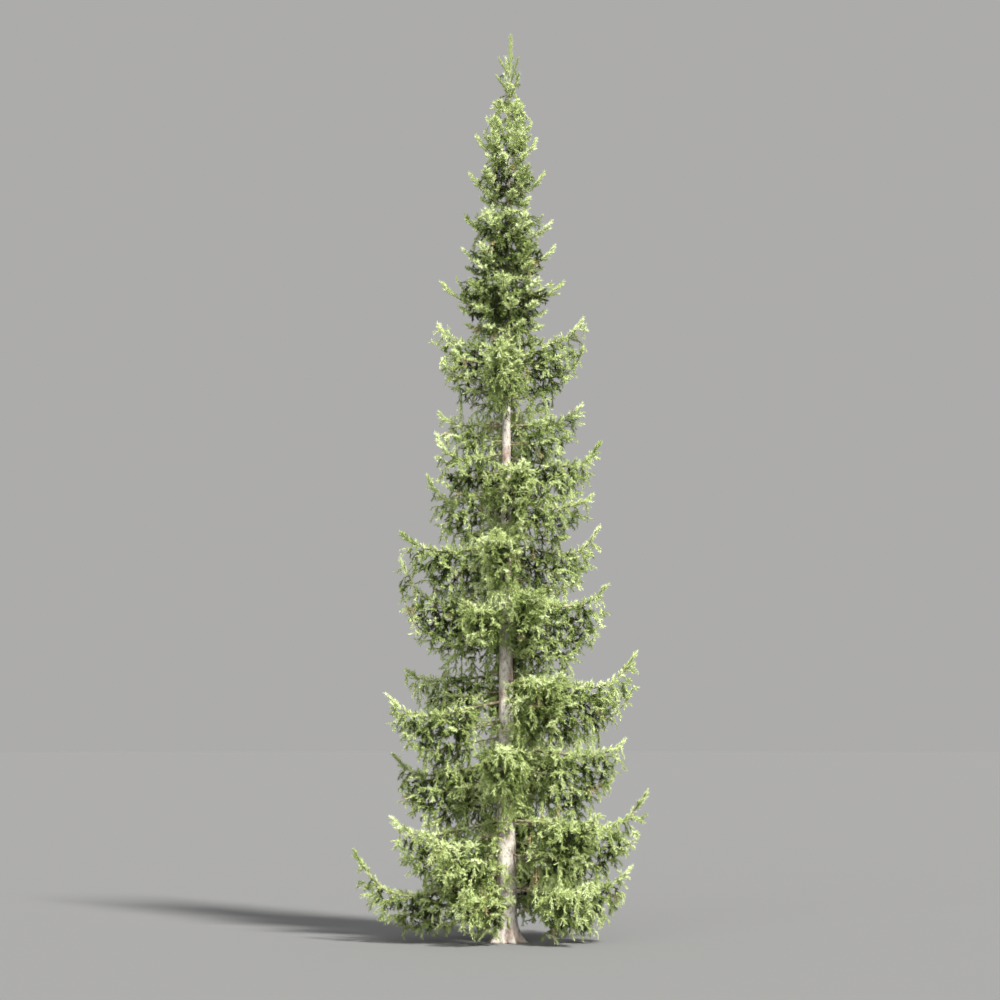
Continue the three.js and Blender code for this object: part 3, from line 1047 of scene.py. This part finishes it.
def trunkPiece():
    bm = bmesh.new()
    count = int(stem["top"] / trunkSkin["ringStep"])
    profile = [bm.verts.new((1.0, 0, stem["top"] * i / count)) for i in range(count + 1)]
    edges = [bm.edges.new(pair) for pair in zip(profile, profile[1:])]
    bmesh.ops.spin(bm, geom=profile + edges, cent=(0, 0, 0), axis=(0, 0, 1), dvec=(0, 0, 0),
                   angle=math.tau, steps=trunkSkin["around"], use_merge=True)
    bmesh.ops.holes_fill(bm, edges=[e for e in bm.edges if e.is_boundary], sides=0)
    for v in bm.verts:
        z = v.co.z
        angle = math.atan2(v.co.y, v.co.x)
        radius = stemRadius(z) + flare(angle, z)
        radius += relief(heading(angle, radius) + lift(z), radius)
        v.co = stemMiddle(z) + heading(angle, radius)
    bmesh.ops.recalc_face_normals(bm, faces=bm.faces)
    mesh = bpy.data.meshes.new("trunk_bark")
    bm.to_mesh(mesh)
    bm.free()
    for face in mesh.polygons:
        face.use_smooth = True
    return placed("trunk_bark", mesh)


bark = Finish("spruce bark", 0.92)
place = bark.node("ShaderNodeTexCoord", output=3)
stretched = bark.node("ShaderNodeMapping", Vector=place, Scale=(1.0, 1.0, 0.55))
bent = bark.node("ShaderNodeTexNoise", output=1, Vector=stretched, Scale=11.0, Detail=4.0, Roughness=0.6)
wandering = bark.node(
    "ShaderNodeVectorMath", {"operation": "MULTIPLY_ADD"},
    Vector=bent, Vector_001=(0.07, 0.07, 0.07), Vector_002=stretched)
plates = bark.node("ShaderNodeTexVoronoi", {"feature": "DISTANCE_TO_EDGE"}, Vector=wandering, Scale=42.0)
flakes = bark.node("ShaderNodeTexVoronoi", {"feature": "F1"}, 1, Vector=wandering, Scale=42.0)
fine = bark.node("ShaderNodeTexNoise", Vector=place, Scale=70.0, Detail=6.0, Roughness=0.7)
broad = bark.node("ShaderNodeTexNoise", Vector=stretched, Scale=3.4, Detail=5.0, Roughness=0.65)
patch = bark.node("ShaderNodeValToRGB", {"stops": [
    (0.38, shade(228, 227, 218)), (0.5, shade(208, 204, 194)),
    (0.6, shade(178, 158, 148)), (0.72, shade(140, 112, 102)),
]}, Fac=broad)
blotches = bark.node("ShaderNodeTexNoise", Vector=wandering, Scale=13.0, Detail=6.0, Roughness=0.75)
stained = bark.node("ShaderNodeValToRGB", {"stops": [(0.5, black), (0.62, white)]}, Fac=blotches)
tinted = bark.mix(flakes * 0.2, patch, shade(214, 214, 202))
stains = bark.mix(stained * 0.75, tinted, shade(104, 76, 68))
speckled = bark.mix(fine * 0.35, stains, shade(140, 124, 112))
gap = bark.node("ShaderNodeValToRGB", {"stops": [(0.0, white), (0.12, black)]}, Fac=plates)
broken = bark.node("ShaderNodeValToRGB", {"stops": [(0.42, black), (0.62, white)]}, Fac=fine)
bark.feed("Base Color", bark.mix(gap * broken * 0.6, speckled, shade(96, 80, 68)))
height = plates.maths("MINIMUM", 0.2) * 3.0 + fine * 0.5
bark.feed("Normal", bark.node("ShaderNodeBump", Height=height, Strength=0.7, Distance=0.006))
piece = trunkPiece()
piece.data.materials.append(bark.material)
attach(piece, "root")
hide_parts("trunk")
print("trunk faces", len(piece.data.polygons))

studio = {
    "floor": shade(119, 120, 121),
    "floorRadius": 400,
    "world": (0.99, 0.98, 0.97, 1),
    "worldStrength": 0.42,
    "sun": 7.2,
    "sunWidth": 9,  # degrees across, and so how soft its shadows are
    "sunFrom": (14, -20, 24),
    "sunColour": (1.0, 0.97, 0.92),
    "fill": 1.4,
    "fillWidth": 50,
    "fillFrom": (-8, -30, 12),
    "fillColour": (1, 1, 1),
    "cameraHeight": 3.7,
    "cameraAway": 48.0,
    "lens": 98.7,
    "tilt": 4.767,
    "yaw": 0.125,
    "farthest": 2000,
}
bm = bmesh.new()
bmesh.ops.create_circle(bm, cap_ends=True, segments=96, radius=studio["floorRadius"])
mesh = bpy.data.meshes.new("floor")
bm.to_mesh(mesh)
bm.free()
ground = placed("floor", mesh)
floorFinish = Finish("floor", 0.9)
floorFinish.feed("Base Color", studio["floor"])
mesh.materials.append(floorFinish.material)

for name, kind in (("key", "sun"), ("fill", "fill")):
    lamp = bpy.data.lights.new(name, "SUN")
    lamp.energy = studio[kind]
    lamp.angle = math.radians(studio[kind + "Width"])
    lamp.color = studio[kind + "Colour"]
    holder = placed(name, lamp)
    holder.rotation_mode = "QUATERNION"
    holder.rotation_quaternion = Vector(studio[kind + "From"]).to_track_quat("Z", "Y")

world = bpy.data.worlds.new("studio")
world.use_nodes = True
world.node_tree.nodes["Background"].inputs["Color"].default_value = studio["world"]
world.node_tree.nodes["Background"].inputs["Strength"].default_value = studio["worldStrength"]
bpy.context.scene.world = world
bpy.context.scene.view_settings.view_transform = "Standard"

lens = bpy.data.cameras.new("camera")
lens.lens = studio["lens"]
lens.clip_end = studio["farthest"]
camera = placed("camera", lens)
camera.location = (0, -studio["cameraAway"], studio["cameraHeight"])
camera.rotation_euler = (math.radians(90 + studio["tilt"]), 0, math.radians(studio["yaw"]))
bpy.context.scene.camera = camera

bpy.context.view_layer.update()
